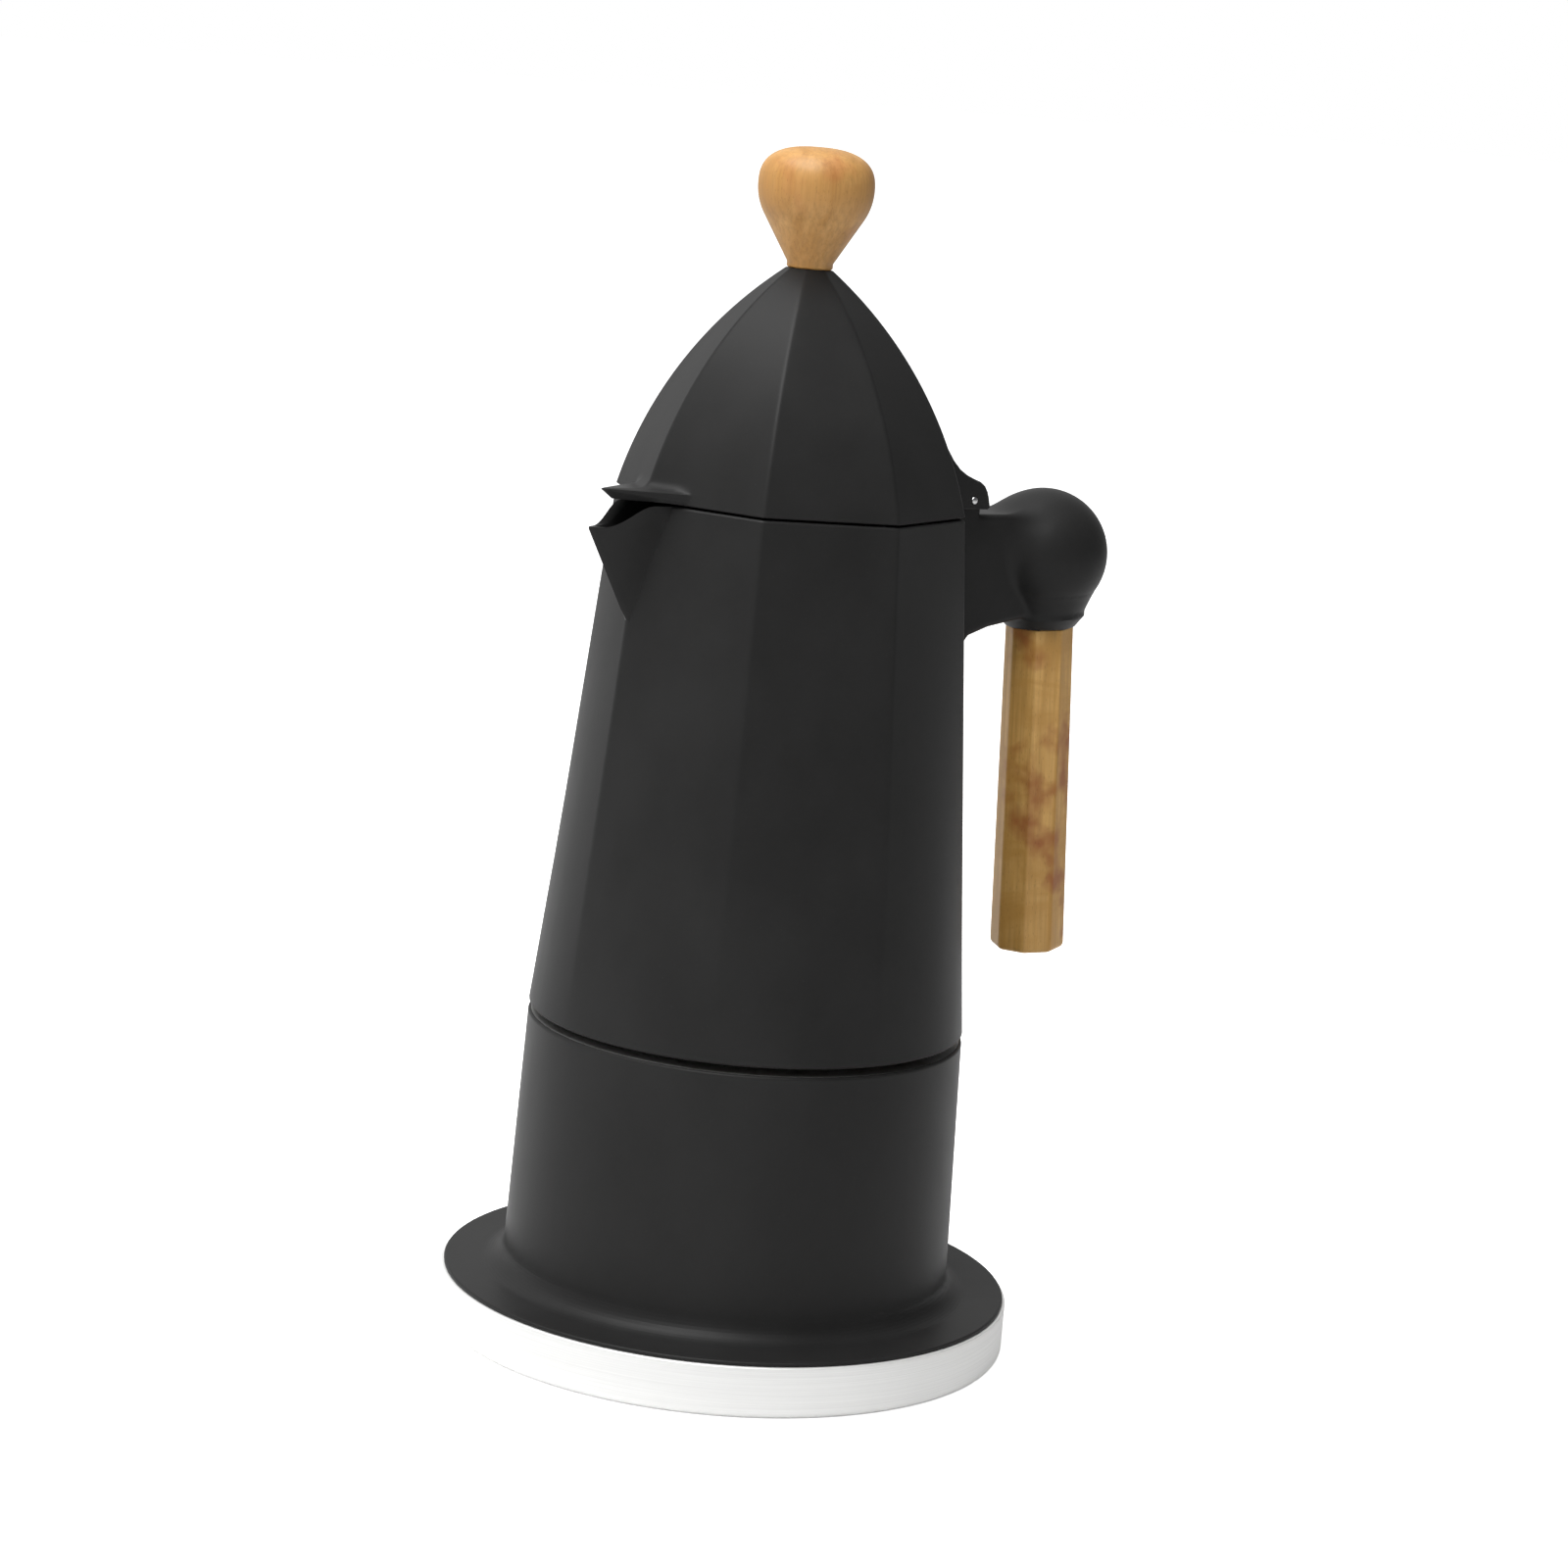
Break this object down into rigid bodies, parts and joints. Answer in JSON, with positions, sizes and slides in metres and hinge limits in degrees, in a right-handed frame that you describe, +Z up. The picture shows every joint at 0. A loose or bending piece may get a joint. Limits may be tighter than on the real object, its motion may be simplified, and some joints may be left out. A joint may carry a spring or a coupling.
{
  "type": "moka pot",
  "caption": "Stovetop moka pot: black octagonal body that screws apart, hinged ogive lid, V spout, wooden knob, wooden grip under a ball-ended arm, bare steel base.",
  "frame": {"origin": "centre of the base's underside, on the surface that the pot stands on", "axes": "+Z up along the pot's centre line, +X towards the handle, -X towards the spout, lid hinge along Y"},
  "size_m": [0.144, 0.12, 0.2482],
  "materials": {
    "satin_steel": "satin, fine circular brushing, near white",
    "bare_aluminium": "bare, fine matt",
    "black_paint": "satin black non-stick coating",
    "valve_brass": "turned, bare",
    "seal_silicone": "matt off-white silicone",
    "hardware_steel": "bright drawn steel",
    "knob_wood": "turned beech, thin clear lacquer, upright grain",
    "grip_wood": "beech, thin clear lacquer, grain along the grip with darker flecks"
  },
  "bodies": {
    "boiler_base": {"base_cap": "satin_steel", "heat_core": "bare_aluminium", "boiler": "black_paint", "valve_body": "valve_brass", "valve_seal": "seal_silicone", "valve_retainer": "valve_brass", "funnel_basket": "bare_aluminium", "funnel_sieve": "bare_aluminium"},
    "filter_set": {"gasket": "seal_silicone", "filter_plate": "bare_aluminium"},
    "collector_body": {"collector": "black_paint", "riser_column": "bare_aluminium", "column_cap": "bare_aluminium", "handle_arm": "black_paint", "arm_pins": "hardware_steel", "grip": "grip_wood", "grip_screw": "hardware_steel", "grip_washer": "hardware_steel", "hinge_pin": "hardware_steel"},
    "lid_body": {"lid": "black_paint", "knob": "knob_wood", "knob_screw": "hardware_steel", "knob_washer": "hardware_steel"},
    "valve_plunger": {"valve_pin": "hardware_steel", "valve_spring": "hardware_steel"}
  },
  "joints": [
    {"name": "thread_lift", "type": "slide", "parent": "boiler_base", "child": "filter_set", "axis": [0, 0, 1], "range_m": [0, 0.0091]},
    {"name": "collector_unscrew", "type": "hinge", "parent": "filter_set", "child": "collector_body", "pos_m": [0, 0, 0.0664], "axis": [0, 0, 1], "range_deg": [0, 1080]},
    {"name": "lid_hinge", "type": "hinge", "parent": "collector_body", "child": "lid_body", "pos_m": [0.0422, 0, 0.1776], "axis": [0, 1, 0], "range_deg": [0, 105]},
    {"name": "valve_lift", "type": "slide", "parent": "boiler_base", "child": "valve_plunger", "axis": [0, 1, 0], "range_m": [0, 0.0015], "stiffness_N_per_m": 200, "springref_m": -0.005, "deforming": ["valve_spring"]}
  ],
  "couplings": [
    {"joint": "thread_lift", "follows": "collector_unscrew", "m_per_rad": 0.00047746}
  ]
}
